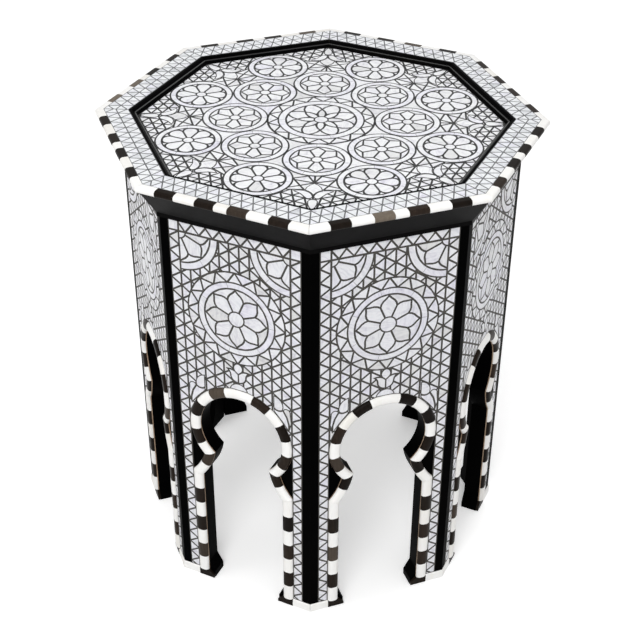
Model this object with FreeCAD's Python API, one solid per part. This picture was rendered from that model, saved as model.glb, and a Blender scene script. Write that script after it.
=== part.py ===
import FreeCAD, Part
import math
import os

# Octagonal side table with pearl inlay and a horseshoe arch in each side.
# Millimetres, +Z up, origin on the floor under the middle of the table.
# Sides are numbered anticlockwise from above, from the one that faces -Y.

# Whole table
sides = 8
table_height = 520.0
body_width = 396.1            # across flats, over the pearl faces
top_overhang = 23.95          # nose of the top edge beyond the pearl faces
glue_gap = 0.2                # glue line round a piece that is let in

# Sheets and boards
mosaic_thickness = 1.5
panel_thickness = 19.0
board_thickness = 16.0

# Corner posts and the tongues that join the panels to them
post_face = 9.3               # width of a post on each side
post_depth = 14.0             # from the back of the pearl to the back of a post
tongue_length = 3.0
tongue_thickness = 5.0
tongue_setback = 4.0          # from the front of the panel to the tongue

# Arch opening
strip_width = 11.9            # pearl strip between post and arch trim
trim_width = 11.9
trim_proud = 3.6              # crest of the trim above the pearl
trim_bevel = 2.8              # rounded-off shoulder on each side of the crest
arch_centre = 230.2           # height of the horseshoe's centre
cusp_reach = 15.9             # how far a cusp stands in from the jamb
cusp_rise = 35.9              # from the knee on the jamb up to the cusp
cusp_bulge = 2.5              # swell of the lower cusp edge
toe_reach = 7.2
toe_height = 22.0             # where a toe starts on the jamb
toe_tip = 8.5                 # upright end of a toe

# Pieces of bone and dark wood along the arch
crown_angle = 33.0            # bone piece at the top of the arch, in degrees
arc_piece = 19.4              # measured along the middle of the trim
cusp_piece = 21.0             # dark piece under a cusp, along the opening
knee_leg = 20.7               # bone piece below the knee
jamb_piece = 21.3

# Foot band
foot_height = 11.0
foot_proud = 1.6              # beyond the pearl face
foot_lift = 0.6               # clear of the floor
foot_chamfer = 1.2
foot_tip = 4.0                # height of the dark band's end, below its slanted cut

# Moulding under the top
cove_drop = 29.4              # height of the slope
cove_setback = 3.5            # from the nose of the top edge
cove_fillet = 4.7             # upright strip below the slope
cove_proud = 2.7              # strip beyond the pearl face

# Top edge, rim and tray
edge_width = 8.6
edge_thickness = 6.1          # from its flat top to its underside
edge_nose = 2.4               # fall of the nose above its middle
edge_undercut = 0.9           # how far the nose falls back at the bottom
edge_dark = 20.6              # dark pieces along the edge
edge_middle = 14.0            # bone piece in the middle of a side
edge_light = 22.6             # bone pieces between two dark ones
rim_width = 24.8
tray_width = 8.5
tray_lip = 1.4                # flat at the top of the tray moulding
tray_shadow = 0.4             # lip below the rim's surface
tray_step = 0.9               # moulding's inner edge above the field
recess_depth = 6.7            # field below the rim

# Inside
block_leg = 28.0
block_height = 80.0
cleat_size = 18.0
cleat_gap = 3.0               # between a cleat and the corner blocks
nail_shank = 3.0              # square cut nails
nail_bite = 10.0              # length in the board
nail_head = 7.0
nail_head_height = 1.5

# Derived places, as distances from the middle (flat) and heights
step = 360.0 / sides
half_tan = math.tan(math.pi / sides)
face_flat = body_width / 2
core_flat = face_flat - mosaic_thickness
inner_flat = core_flat - panel_thickness
post_back = core_flat - post_depth
nose_flat = face_flat + top_overhang
rim_flat = nose_flat - edge_width
tray_flat = rim_flat - rim_width
field_flat = tray_flat - tray_width
edge_bottom = table_height - edge_thickness
field_top = table_height - recess_depth
bed_top = field_top - mosaic_thickness
board_bottom = bed_top - board_thickness
cove_bottom = edge_bottom - cove_drop - cove_fillet
post_edge = face_flat * half_tan - post_face
panel_edge = post_edge - glue_gap
trim_outer = post_edge - strip_width
jamb = trim_outer - trim_width
cusp = (jamb - cusp_reach, arch_centre - math.sqrt(jamb ** 2 - (jamb - cusp_reach) ** 2))
knee = (jamb, cusp[1] - cusp_rise)
trim_height = mosaic_thickness + trim_proud


def vec(x, y, z):
    return FreeCAD.Vector(x, y, z)


def turned(shape, steps):
    """Turn a shape about the table's axis by a number of sides."""
    copy = shape.copy()
    copy.rotate(vec(0, 0, 0), vec(0, 0, 1), step * steps)
    return copy


def mirrored(shape):
    """The same piece on the other half of a side."""
    return shape.mirror(vec(0, 0, 0), vec(1, 0, 0))


def polygon_face(points):
    return Part.Face(Part.makePolygon(points + points[:1]))


def block(x0, x1, y0, y1, z0, z1):
    return Part.makeBox(x1 - x0, y1 - y0, z1 - z0, vec(x0, y0, z0))


def octagon(flat, z0, z1):
    """Board with the table's plan, its edges at a distance flat from the middle."""
    first = vec(flat * half_tan, -flat, z0)
    corners = []
    for index in range(sides):
        turn = FreeCAD.Rotation(vec(0, 0, 1), step * index)
        corners.append(turn.multVec(first))
    return polygon_face(corners).extrude(vec(0, 0, z1 - z0))


def mitre_sector():
    """Wedge of space that belongs to one side, between its two mitres."""
    reach = 2 * nose_flat
    side = reach * half_tan
    corners = [vec(0, 0, 0), vec(-side, -reach, 0), vec(side, -reach, 0)]
    return polygon_face(corners).extrude(vec(0, 0, table_height))


def mitred_length(profile):
    """Moulding along one side, from points (flat, height), mitred at both ends."""
    run = nose_flat * half_tan
    face = polygon_face([vec(-run, -flat, height) for flat, height in profile])
    return face.extrude(vec(2 * run, 0, 0)).common(mitre_sector())


def export(name, solids):
    shape = solids[0] if len(solids) == 1 else Part.makeCompound(solids)
    shape.exportStep("parts/" + name + ".step")


# Lower edge of the cusp: an arc that swells into the opening, centred in the wood
chord = math.hypot(cusp[0] - knee[0], cusp[1] - knee[1])
limb_radius = (chord ** 2 / 4 + cusp_bulge ** 2) / (2 * cusp_bulge)
chord_dir = ((cusp[0] - knee[0]) / chord, (cusp[1] - knee[1]) / chord)
into_wood = (chord_dir[1], -chord_dir[0])
chord_middle = ((cusp[0] + knee[0]) / 2, (cusp[1] + knee[1]) / 2)
limb_middle = tuple(chord_middle[i] - cusp_bulge * into_wood[i] for i in range(2))
limb_centre = tuple(limb_middle[i] + limb_radius * into_wood[i] for i in range(2))


def circles_meet(first, first_radius, second, second_radius, near):
    """Meeting point of two circles that lies closest to a given point."""
    apart = math.hypot(second[0] - first[0], second[1] - first[1])
    along = (apart ** 2 + first_radius ** 2 - second_radius ** 2) / (2 * apart)
    aside = math.sqrt(first_radius ** 2 - along ** 2)
    dx = (second[0] - first[0]) / apart
    dz = (second[1] - first[1]) / apart
    foot = (first[0] + along * dx, first[1] + along * dz)
    options = [(foot[0] - aside * dz, foot[1] + aside * dx)]
    options.append((foot[0] + aside * dz, foot[1] - aside * dx))
    return min(options, key=lambda p: math.hypot(p[0] - near[0], p[1] - near[1]))


# Outer ends of the two mitres in the trim, at the cusp and at the knee
limb_outer_radius = limb_radius - trim_width
cusp_notch = circles_meet((0, arch_centre), trim_outer, limb_centre, limb_outer_radius, cusp)
knee_drop = math.sqrt(limb_outer_radius ** 2 - (limb_centre[0] - trim_outer) ** 2)
knee_notch = (trim_outer, limb_centre[1] - knee_drop)


def arch_outline(y):
    """Edges of the opening from one toe up round the arch to the other toe."""
    def at(point, side):
        return vec(side * point[0], y, point[1])

    crown = vec(0, y, arch_centre + jamb)
    toe_low = (jamb - toe_reach, 0)
    toe_high = (jamb - toe_reach, toe_tip)
    toe_start = (jamb, toe_height)
    edges = []
    for side in (1, -1):
        run = [at(toe_low, side), at(toe_high, side), at(toe_start, side), at(knee, side)]
        for start, end in zip(run, run[1:]):
            edges.append(Part.LineSegment(start, end).toShape())
        limb = Part.Arc(at(knee, side), at(limb_middle, side), at(cusp, side))
        edges.append(limb.toShape())
    edges.append(Part.Arc(at(cusp, 1), crown, at(cusp, -1)).toShape())
    return edges


def side_panel():
    """Panel with its keyhole arch, and a tongue down each edge."""
    y = -core_flat
    right = panel_edge
    toe = jamb - toe_reach
    run = [vec(toe, y, 0), vec(right, y, 0), vec(right, y, board_bottom)]
    run += [vec(-right, y, board_bottom), vec(-right, y, 0), vec(-toe, y, 0)]
    edges = arch_outline(y)
    for start, end in zip(run, run[1:]):
        edges.append(Part.LineSegment(start, end).toShape())
    wire = Part.Wire(Part.__sortEdges__(edges))
    panel = Part.Face(wire).extrude(vec(0, panel_thickness, 0))
    front = y + tongue_setback
    back = front + tongue_thickness
    tongue = block(right, post_edge + tongue_length, front, back, 0, board_bottom)
    return panel.fuse([tongue, mirrored(tongue)]).removeSplitter()


def panel_mosaic():
    """Pearl sheet on the panel: it leaves a tall round-headed gap for the arch trim."""
    y = -core_flat
    gap = trim_outer + glue_gap
    right = panel_edge
    run = [vec(-gap, y, arch_centre), vec(-gap, y, foot_height)]
    run += [vec(-right, y, foot_height), vec(-right, y, cove_bottom)]
    run += [vec(right, y, cove_bottom), vec(right, y, foot_height)]
    run += [vec(gap, y, foot_height), vec(gap, y, arch_centre)]
    edges = [Part.LineSegment(a, b).toShape() for a, b in zip(run, run[1:])]
    head = Part.Arc(run[-1], vec(0, y, arch_centre + gap), run[0])
    edges.append(head.toShape())
    wire = Part.Wire(Part.__sortEdges__(edges))
    return Part.Face(wire).extrude(vec(0, -mosaic_thickness, 0))


def post_plan(outer_flat, z0, z1):
    """Post between two sides, its faces at outer_flat, a little thinner than the panels."""
    mitre = vec(outer_flat * half_tan, -outer_flat, z0)
    here = [vec(post_edge, -outer_flat, z0), vec(post_edge, -post_back, z0)]
    inner_corner = vec(post_back * half_tan, -post_back, z0)
    turn = FreeCAD.Rotation(vec(0, 0, 1), step)
    there = [turn.multVec(vec(-p.x, p.y, p.z)) for p in reversed(here)]
    plan = polygon_face([mitre] + here + [inner_corner] + there)
    return plan.extrude(vec(0, 0, z1 - z0))


def corner_post():
    """Post with a groove for each panel, thinner behind the foot band and the moulding."""
    core = post_plan(core_flat, 0, board_bottom)
    face = post_plan(face_flat, foot_height, cove_bottom)
    front = -core_flat + tongue_setback - glue_gap
    back = front + tongue_thickness + 2 * glue_gap
    bottom = post_edge + tongue_length + glue_gap
    groove = block(post_edge, bottom, front, back, 0, board_bottom)
    post = core.fuse(face).removeSplitter()
    return post.cut([groove, turned(mirrored(groove), 1)])


def trim_face(place):
    """Cross-section of the arch trim: place(across, height) gives a point in space."""
    crest = trim_width - trim_bevel
    outline = [(0, 0), (trim_width, 0), (crest, trim_height), (trim_bevel, trim_height)]
    return polygon_face([place(across, height) for across, height in outline])


def straight_trim(z0, z1):
    """Length of trim up the jamb."""
    def place(across, height):
        return vec(jamb + across, -core_flat - height, z0)

    return trim_face(place).extrude(vec(0, 0, z1 - z0))


def curved_trim(centre, radius, outward, start, end):
    """Length of trim round a centre, between two angles from +X towards +Z."""
    cos = math.cos(math.radians(start))
    sin = math.sin(math.radians(start))

    def place(across, height):
        r = radius + outward * across
        return vec(centre[0] + r * cos, -core_flat - height, centre[1] + r * sin)

    axis_point = vec(centre[0], 0, centre[1])
    return trim_face(place).revolve(axis_point, vec(0, -1, 0), end - start)


def mitred(piece, inner, outer, keep):
    """Cut a length of trim along a mitre, keeping the side of a given point."""
    length = math.hypot(outer[0] - inner[0], outer[1] - inner[1])
    dx = (outer[0] - inner[0]) / length
    dz = (outer[1] - inner[1]) / length
    side = math.copysign(1, (keep[0] - inner[0]) * -dz + (keep[1] - inner[1]) * dx)
    reach = table_height
    corners = []
    for along, away in ((-reach, 0), (reach, 0), (reach, reach), (-reach, reach)):
        x = inner[0] + along * dx - side * away * dz
        z = inner[1] + along * dz + side * away * dx
        corners.append(vec(x, -core_flat, z))
    half_space = polygon_face(corners).extrude(vec(0, -2 * trim_height, 0))
    return piece.common(half_space)


def angle_from(centre, point):
    angle = math.degrees(math.atan2(point[1] - centre[1], point[0] - centre[0]))
    return angle % 360


def arch_trim():
    """Bone and dark wood pieces on the right half of an arch, and the bone crown."""
    bone = []
    dark = []
    middle = (0, arch_centre)
    cusp_angle = angle_from(middle, cusp) - 360
    crown_end = 90 - crown_angle / 2
    bone_crown = curved_trim(middle, jamb, 1, crown_end, 180 - crown_end)

    # Horseshoe from the crown down to the cusp, dark first and bone last
    arc_length = math.radians(crown_end - cusp_angle) * (jamb + trim_width / 2)
    count = 2 * max(1, round(arc_length / arc_piece / 2))
    pitch = (crown_end - cusp_angle) / count
    for index in range(count):
        start = crown_end - pitch * index
        piece = curved_trim(middle, jamb, 1, start, start - pitch)
        if index == count - 1:
            piece = mitred(piece, cusp, cusp_notch, middle)
        (bone if index % 2 else dark).append(piece)

    # Lower edge of the cusp: dark at the point, bone down to the knee
    top = angle_from(limb_centre, cusp)
    low = angle_from(limb_centre, knee)
    seam = top + math.degrees(cusp_piece / limb_radius)
    past_knee = low + math.degrees(trim_width / limb_radius)
    upper = curved_trim(limb_centre, limb_radius, -1, top, seam)
    lower = curved_trim(limb_centre, limb_radius, -1, seam, past_knee)
    dark.append(mitred(upper, cusp, cusp_notch, knee))
    bone.append(mitred(lower, knee, knee_notch, cusp))

    # Jamb: bone below the knee, then dark and bone in turn down to the foot
    leg_bottom = knee[1] - knee_leg
    leg = straight_trim(leg_bottom, knee[1] + trim_width)
    bone.append(mitred(leg, knee, knee_notch, (jamb, 0)))
    count = max(1, round((leg_bottom - foot_height) / jamb_piece))
    pitch = (leg_bottom - foot_height) / count
    for index in range(count):
        z1 = leg_bottom - pitch * index
        (bone if index % 2 else dark).append(straight_trim(z1 - pitch, z1))
    return bone_crown, bone, dark


def foot_band():
    """Strip along the foot of a side, from the middle to past the corner mitre."""
    front = -face_flat - foot_proud
    back = -core_flat
    top = foot_height
    points = [(back, foot_lift), (front, foot_lift), (front, top - foot_chamfer)]
    points += [(front + foot_chamfer, top), (back, top)]
    face = polygon_face([vec(0, y, z) for y, z in points])
    return face.extrude(vec(nose_flat * half_tan, 0, 0)).common(mitre_sector())


def foot_pieces():
    """Bone at the corner and dark wood under the jamb, its end cut to the toe."""
    band = foot_band()
    depth = 2 * (foot_proud + mosaic_thickness)
    corner = block(trim_outer, nose_flat, -core_flat - depth, -core_flat, 0, foot_height)
    toe = [(jamb - toe_reach, 0), (jamb - toe_reach, foot_tip), (jamb, foot_height)]
    toe += [(trim_outer, foot_height), (trim_outer, 0)]
    face = polygon_face([vec(x, -core_flat, z) for x, z in toe])
    return band.common(corner), band.common(face.extrude(vec(0, -depth, 0)))


def cove_moulding():
    """Black moulding that slopes out from the body to the top edge, rebated for the rim rail."""
    strip = face_flat + cove_proud
    slope_foot = edge_bottom - cove_drop
    profile = [(core_flat, cove_bottom), (strip, cove_bottom), (strip, slope_foot)]
    profile += [(nose_flat - cove_setback, edge_bottom), (rim_flat, edge_bottom)]
    profile += [(rim_flat, bed_top), (core_flat, bed_top)]
    return mitred_length(profile)


def edge_length(start, end):
    """Piece of the top edge along X: flat on top, its nose eased above and below."""
    middle = (table_height + edge_bottom) / 2
    profile = [(rim_flat, edge_bottom), (rim_flat, table_height)]
    profile += [(nose_flat - edge_nose, table_height), (nose_flat, middle)]
    profile += [(nose_flat - edge_undercut, edge_bottom)]
    face = polygon_face([vec(start, -flat, height) for flat, height in profile])
    return face.extrude(vec(end - start, 0, 0))


def top_edge():
    """Pieces on one side of the top: bone in the middle, then dark and bone in turn."""
    inner_dark = edge_middle / 2
    light = inner_dark + edge_dark
    outer_dark = light + edge_light
    corner = outer_dark + edge_dark
    bone = [edge_length(-inner_dark, inner_dark)]
    dark = []
    corner_piece = edge_length(corner, nose_flat * half_tan).common(mitre_sector())
    for piece in (edge_length(light, outer_dark), corner_piece):
        bone += [piece, mirrored(piece)]
    for start in (inner_dark, outer_dark):
        piece = edge_length(start, start + edge_dark)
        dark += [piece, mirrored(piece)]
    return bone, dark


def tray_moulding():
    """Black moulding that slopes from the rim down to the field."""
    outer = tray_flat - glue_gap
    lip = table_height - tray_shadow
    step_top = field_top + tray_step
    profile = [(outer, bed_top), (outer, lip), (outer - tray_lip, lip)]
    profile += [(field_flat, step_top), (field_flat, bed_top)]
    return mitred_length(profile)


def flat_strip(z0, z1):
    """Mitred strip of the rim, as wide as the pearl border."""
    return mitred_length([(tray_flat, z0), (rim_flat, z0), (rim_flat, z1), (tray_flat, z1)])


def glue_block():
    """Block in the corner between two panels, under the board."""
    z0 = board_bottom - block_height
    corner = vec(inner_flat * half_tan, -inner_flat, z0)
    here = vec(corner.x - block_leg, -inner_flat, z0)
    there = FreeCAD.Rotation(vec(0, 0, 1), step).multVec(vec(-here.x, here.y, z0))
    return polygon_face([corner, here, there]).extrude(vec(0, 0, block_height))


# Cleats, and the nails driven up through them into the board
nail_flat = inner_flat - cleat_size / 2
cleat_bottom = board_bottom - cleat_size
cleat_half = inner_flat * half_tan - block_leg - cleat_gap


def nail_bar(width, z0, z1):
    """Square bar on the line of the right-hand nail of a cleat."""
    x = cleat_half / 2
    half = width / 2
    return block(x - half, x + half, -nail_flat - half, -nail_flat + half, z0, z1)


def nail_hole(z0, z1):
    hole = nail_bar(nail_shank + 2 * glue_gap, z0, z1)
    return [hole, mirrored(hole)]


def cleat():
    """Batten along the inside of a panel that holds the board down."""
    front = -inner_flat
    back = front + cleat_size
    batten = block(-cleat_half, cleat_half, front, back, cleat_bottom, board_bottom)
    return batten.cut(nail_hole(cleat_bottom, board_bottom))


def cleat_nail():
    shank = nail_bar(nail_shank, cleat_bottom, board_bottom + nail_bite)
    head = nail_bar(nail_head, cleat_bottom - nail_head_height, cleat_bottom)
    return shank.fuse(head).removeSplitter()


os.makedirs("parts", exist_ok=True)

# Pieces that every side has, each in a node of its own
panel = side_panel()
mosaic = panel_mosaic()
post = corner_post()
cove = cove_moulding()
rail = flat_strip(bed_top, table_height - mosaic_thickness)
for index in range(sides):
    number = str(index + 1)
    export("side_panel_" + number, [turned(panel, index)])
    export("panel_mosaic_" + number, [turned(mosaic, index)])
    export("corner_post_" + number, [turned(post, index)])
    export("cove_moulding_" + number, [turned(cove, index)])
    export("rim_rail_" + number, [turned(rail, index)])


def all_round(pieces, every=1):
    """The same pieces on every side, or on every second side."""
    return [turned(piece, index) for index in range(0, sides, every) for piece in pieces]


# Arches
crown, half_bone, half_dark = arch_trim()
arch_bone = [crown] + half_bone + [mirrored(piece) for piece in half_bone]
arch_dark = half_dark + [mirrored(piece) for piece in half_dark]
export("arch_bone", all_round(arch_bone))
export("arch_dark_wood", all_round(arch_dark))

# Feet
foot_bone, foot_dark = foot_pieces()
export("foot_bone", all_round([foot_bone, mirrored(foot_bone)]))
export("foot_dark_wood", all_round([foot_dark, mirrored(foot_dark)]))

# Top
cleat_sides = range(0, sides, 2)
board = octagon(core_flat - glue_gap, board_bottom, bed_top)
pilots = Part.makeCompound(nail_hole(board_bottom, board_bottom + nail_bite + glue_gap))
edge_bone, edge_dark_wood = top_edge()
export("top_board", [board.cut([turned(pilots, index) for index in cleat_sides])])
export("rim_mosaic", all_round([flat_strip(table_height - mosaic_thickness, table_height)]))
export("tray_moulding", all_round([tray_moulding()]))
export("field_mosaic", [octagon(field_flat - glue_gap, bed_top, field_top)])
export("edge_bone", all_round(edge_bone))
export("edge_dark_wood", all_round(edge_dark_wood))

# Inside
export("glue_blocks", all_round([glue_block()]))
export("top_cleats", all_round([cleat()], every=2))
nail = cleat_nail()
export("cleat_nails", all_round([nail, mirrored(nail)], every=2))
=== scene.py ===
import math
import random

import bmesh
import bpy
from mathutils import Matrix, Vector


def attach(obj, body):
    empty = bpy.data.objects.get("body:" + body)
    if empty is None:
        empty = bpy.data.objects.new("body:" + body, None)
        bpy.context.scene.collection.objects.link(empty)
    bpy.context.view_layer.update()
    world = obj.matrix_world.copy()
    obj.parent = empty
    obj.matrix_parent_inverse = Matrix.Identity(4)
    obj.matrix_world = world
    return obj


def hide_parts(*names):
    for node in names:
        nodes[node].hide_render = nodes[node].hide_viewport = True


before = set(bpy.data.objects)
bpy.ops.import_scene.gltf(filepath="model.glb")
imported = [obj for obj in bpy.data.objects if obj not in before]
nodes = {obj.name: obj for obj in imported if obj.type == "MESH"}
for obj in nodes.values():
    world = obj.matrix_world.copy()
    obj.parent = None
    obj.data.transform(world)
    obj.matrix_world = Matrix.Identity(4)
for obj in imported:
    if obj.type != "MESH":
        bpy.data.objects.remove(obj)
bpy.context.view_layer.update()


# Carcase: eight softwood panels tongued into eight corner posts, and a sloping moulding under the
# top. All of it is brushed with black lacquer and rubbed to a satin shine.
def new_material(name):
    material = bpy.data.materials.new(name)
    material.use_nodes = True
    return material, material.node_tree, material.node_tree.nodes["Principled BSDF"]


def feed(tree, socket, value):
    """Set a socket to a number or colour, or link it to another socket."""
    if isinstance(value, bpy.types.NodeSocket):
        tree.links.new(value, socket)
    else:
        socket.default_value = value


def wire(tree, node, **sockets):
    for name, value in sockets.items():
        feed(tree, node.inputs[name.replace("_", " ")], value)


def add(tree, kind, settings=None, **sockets):
    """A node with its settings, and with its named sockets fed."""
    node = tree.nodes.new(kind)
    for name, value in (settings or {}).items():
        setattr(node, name, value)
    wire(tree, node, **sockets)
    return node


def arithmetic(tree, operation, first, second):
    node = add(tree, "ShaderNodeMath", {"operation": operation})
    feed(tree, node.inputs[0], first)
    feed(tree, node.inputs[1], second)
    return node.outputs["Value"]


def ramp(tree, source, stops):
    """Colours along a value: stops are (place, colour)."""
    node = add(tree, "ShaderNodeValToRGB", Fac=source)
    elements = node.color_ramp.elements
    while len(elements) < len(stops):
        elements.new(0.5)
    for element, (place, colour) in zip(elements, stops):
        element.position = place
        element.color = (*colour, 1)
    return node.outputs["Color"]


def value_range(tree, source, low, high):
    return add(tree, "ShaderNodeMapRange", Value=source, To_Min=low, To_Max=high).outputs["Result"]


def place_on_piece(tree):
    return tree.nodes.new("ShaderNodeTexCoord").outputs["Object"]


def surface(tree, bsdf, colour, grain, rough, relief, depth, rub=None, **sockets):
    """Base colour, with a fine relief from the grain and a roughness from it or from rub marks."""
    marks = grain if rub is None else rub
    bump = add(tree, "ShaderNodeBump", Height=grain, Strength=relief, Distance=depth)
    wire(tree, bsdf, Base_Color=colour, Roughness=value_range(tree, marks, *rough),
         Normal=bump.outputs["Normal"], **sockets)


FINENESS = 14.0


def handwork_group():
    """Marks that hand rubbing leaves: broad cloudy patches, and fine scratches and dust."""
    tree = bpy.data.node_groups.new("handwork", "ShaderNodeTree")
    for name, way in (("Scale", "INPUT"), ("Patches", "OUTPUT"), ("Fine", "OUTPUT")):
        tree.interface.new_socket(name, in_out=way, socket_type="NodeSocketFloat")
    scale = tree.nodes.new("NodeGroupInput").outputs["Scale"]
    place = place_on_piece(tree)
    finer = arithmetic(tree, "MULTIPLY", scale, FINENESS)
    broad = add(tree, "ShaderNodeTexNoise", Vector=place, Scale=scale, Detail=4.0, Roughness=0.6)
    fine = add(tree, "ShaderNodeTexNoise", Vector=place, Scale=finer, Detail=6.0, Roughness=0.7)
    result = tree.nodes.new("NodeGroupOutput")
    wire(tree, result, Patches=broad.outputs["Fac"], Fine=fine.outputs["Fac"])
    return tree


handwork = handwork_group()


def worked(tree, scale):
    node = add(tree, "ShaderNodeGroup", {"node_tree": handwork}, Scale=scale)
    return node.outputs["Patches"], node.outputs["Fine"]


def lacquer(name, dark, light, rough, shine):
    """Black lacquer: thin brown-black coats, a little uneven, with fine rubbing marks."""
    material, tree, bsdf = new_material(name)
    patches, fine = worked(tree, scale=9.0)
    colour = ramp(tree, patches, [(0.3, dark), (0.75, light)])
    surface(tree, bsdf, colour, fine, (rough - 0.08, rough + 0.12), relief=0.12, depth=0.0003,
            Specular_IOR_Level=shine)
    return material


def dress(material, *names):
    """Give CAD nodes their finish."""
    for name in names:
        nodes[name].data.materials.clear()
        nodes[name].data.materials.append(material)


SIDES = 8
NUMBERS = [str(side + 1) for side in range(SIDES)]
black_lacquer = lacquer("black_lacquer", (0.0006, 0.0006, 0.0007), (0.0016, 0.0015, 0.0015),
                        rough=0.36, shine=0.004)
moulding_lacquer = lacquer("moulding_lacquer", (0.0008, 0.0008, 0.0009), (0.0022, 0.002, 0.002),
                           rough=0.3, shine=0.026)
for number in NUMBERS:
    dress(black_lacquer, "side_panel_" + number, "corner_post_" + number)
    dress(moulding_lacquer, "cove_moulding_" + number)


# Top board, rim rails, glue blocks and cleats: plain sawn softwood that only shows from below.
# The blocks are glued into the corners and the cleats are nailed up into the board.
def timber(name, pale, brown):
    """Sawn wood with growth rings drawn out along the board and a fuzzy saw face."""
    material, tree, bsdf = new_material(name)
    long_way = add(tree, "ShaderNodeMapping", Vector=place_on_piece(tree), Scale=(3.0, 34.0, 34.0))
    rings = add(tree, "ShaderNodeTexNoise", Vector=long_way.outputs["Vector"],
                Scale=2.2, Detail=5.0, Distortion=0.6).outputs["Fac"]
    colour = ramp(tree, rings, [(0.3, brown), (0.7, pale)])
    surface(tree, bsdf, colour, rings, (0.65, 0.9), relief=0.3, depth=0.0008,
            rub=worked(tree, scale=40.0)[1])
    return material


plain_wood = timber("sawn_softwood", (0.42, 0.28, 0.16), (0.22, 0.13, 0.065))
rim_rails = ["rim_rail_" + number for number in NUMBERS]
dress(plain_wood, "top_board", "glue_blocks", "top_cleats", *rim_rails)


# Cut nails: square black iron nails from the forge, with a skin of scale and some rust.
# Eight of them are driven up through the cleats into the top board.
def forged_iron():
    material, tree, bsdf = new_material("forged_iron")
    patches, fine = worked(tree, scale=160.0)
    colour = ramp(tree, patches, [(0.35, (0.05, 0.05, 0.052)), (0.7, (0.12, 0.06, 0.03))])
    surface(tree, bsdf, colour, fine, (0.45, 0.75), relief=0.4, depth=0.0003, Metallic=0.8)
    return material


dress(forged_iron(), "cleat_nails")


# Pearl panels: hundreds of small sawn pieces of shell glued to each panel face, with dark filler
# rubbed into the gaps. A triangle lattice carries a rosette, two quarter rosettes and small leaves.
PIECES_APART = 90.0


def tinted(tree, colour, tint, share):
    """A colour multiplied by a tint, as far as the share says."""
    return add(tree, "ShaderNodeMix", {"data_type": "RGBA", "blend_type": "MULTIPLY"},
               Factor=share, A=colour, B=tint).outputs["Result"]


def tone_of_piece(tree):
    return add(tree, "ShaderNodeAttribute", {"attribute_name": "tone"}).outputs["Fac"]


def shell(name, dull, bright, lilac):
    """Mother-of-pearl: a tone and a run of silky streaks for each piece, with coloured glints."""
    material, tree, bsdf = new_material(name)
    tone = tone_of_piece(tree)
    place = place_on_piece(tree)
    shift = arithmetic(tree, "MULTIPLY", tone, PIECES_APART)
    figure = add(tree, "ShaderNodeTexNoise", {"noise_dimensions": "4D"}, Vector=place, W=shift,
                 Scale=70.0, Detail=3.0, Distortion=1.6).outputs["Fac"]
    body = ramp(tree, tone, [(0.0, dull), (0.35, bright), (0.7, bright), (1.0, lilac)])
    glint = ramp(tree, figure,
                 [(0.32, (0.80, 0.79, 0.84)), (0.5, (1, 1, 1)), (0.68, (0.95, 0.965, 0.97))])
    turned = add(tree, "ShaderNodeVectorRotate", {"rotation_type": "AXIS_ANGLE"},
                 Vector=place, Angle=shift, Axis=(0.6, 0.5, 0.62))
    long_way = add(tree, "ShaderNodeMapping", Vector=turned.outputs["Vector"], Scale=(70, 70, 620))
    streaks = add(tree, "ShaderNodeTexNoise", Vector=long_way.outputs["Vector"],
                  Scale=1.0, Detail=2.0, Distortion=0.6).outputs["Fac"]
    silk = ramp(tree, streaks, [(0.32, (0.80, 0.80, 0.83)), (0.55, (1, 1, 1))])
    colour = tinted(tree, tinted(tree, body, glint, share=0.75), silk, share=0.7)
    surface(tree, bsdf, colour, figure, (0.2, 0.42), relief=0.05, depth=0.0004,
            Specular_IOR_Level=0.3, Coat_Weight=0.06, Coat_Roughness=0.12)
    return material


def filler(name, dark, light):
    """Filler of glue, chalk and soot, rubbed flat and slightly grainy."""
    material, tree, bsdf = new_material(name)
    patches, fine = worked(tree, scale=60.0)
    colour = ramp(tree, patches, [(0.3, dark), (0.7, light)])
    surface(tree, bsdf, colour, fine, (0.55, 0.8), relief=0.3, depth=0.0002)
    return material


PEARL, FILLER = 0, 1
MM = 0.001
ARC_STEP = 0.28
NARROWEST = 1.25
BED = 0.08
RING_HEIGHT = 0.16
RING_LENGTHS = 7
RING_JOINT = 0.3
RING_INSET = 0.75
EYE_INSET = 0.6
chance = random.Random(11)
FLIP = Matrix.Scale(-1, 4, (1, 0, 0))
HALVES = (Matrix.Identity(4), FLIP)
TURNS = [Matrix.Rotation(2 * math.pi * side / SIDES, 4, "Z") for side in range(SIDES)]


def polar(radius, degrees, centre=(0, 0)):
    angle = math.radians(degrees)
    return (centre[0] + radius * math.cos(angle), centre[1] + radius * math.sin(angle))


def circle_through(a, b, c):
    """Centre of the circle through three points, and the turn from a to c by way of b."""
    ax, ay = a[0] - c[0], a[1] - c[1]
    bx, by = b[0] - c[0], b[1] - c[1]
    twice = 2 * (ax * by - ay * bx)
    a2, b2 = ax * ax + ay * ay, bx * bx + by * by
    centre = (c[0] + (by * a2 - ay * b2) / twice, c[1] + (ax * b2 - bx * a2) / twice)
    way = [math.atan2(p[1] - centre[1], p[0] - centre[0]) for p in (a, b, c)]
    full = 2 * math.pi
    turn = (way[2] - way[0]) % full
    if (way[1] - way[0]) % full > turn:
        turn -= full
    return centre, turn


def blank():
    """Empty mesh whose faces can carry a tone."""
    bm = bmesh.new()
    bm.faces.layers.float.new("tone")
    return bm


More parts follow.
